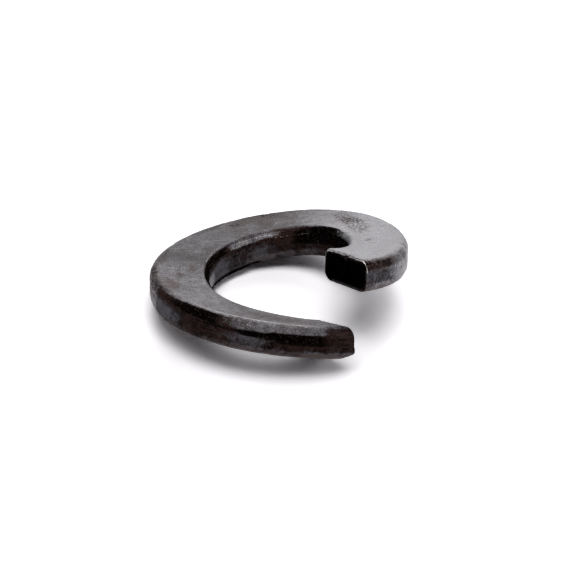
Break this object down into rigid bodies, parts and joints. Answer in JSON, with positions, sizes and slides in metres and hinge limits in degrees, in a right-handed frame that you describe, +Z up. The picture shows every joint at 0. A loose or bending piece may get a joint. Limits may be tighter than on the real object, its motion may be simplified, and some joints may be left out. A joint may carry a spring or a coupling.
{
  "type": "curved spring washer",
  "caption": "Split spring washer: a single open coil of rectangular steel wire with rounded edges, curved and dished so that it acts as a spring under a screw head.",
  "frame": {"origin": "centre of the bounding box's underside, on the surface that the washer lies on", "axes": "+Z up, as the washer comes to rest; the slit between the cut ends faces -Y and +X"},
  "size_m": [0.0114, 0.0116, 0.0048],
  "materials": {
    "blackened_steel": "dark oxide and mill scale, worn grey on the faces"
  },
  "bodies": {
    "root": {"spring_washer": "blackened_steel"}
  },
  "joints": []
}
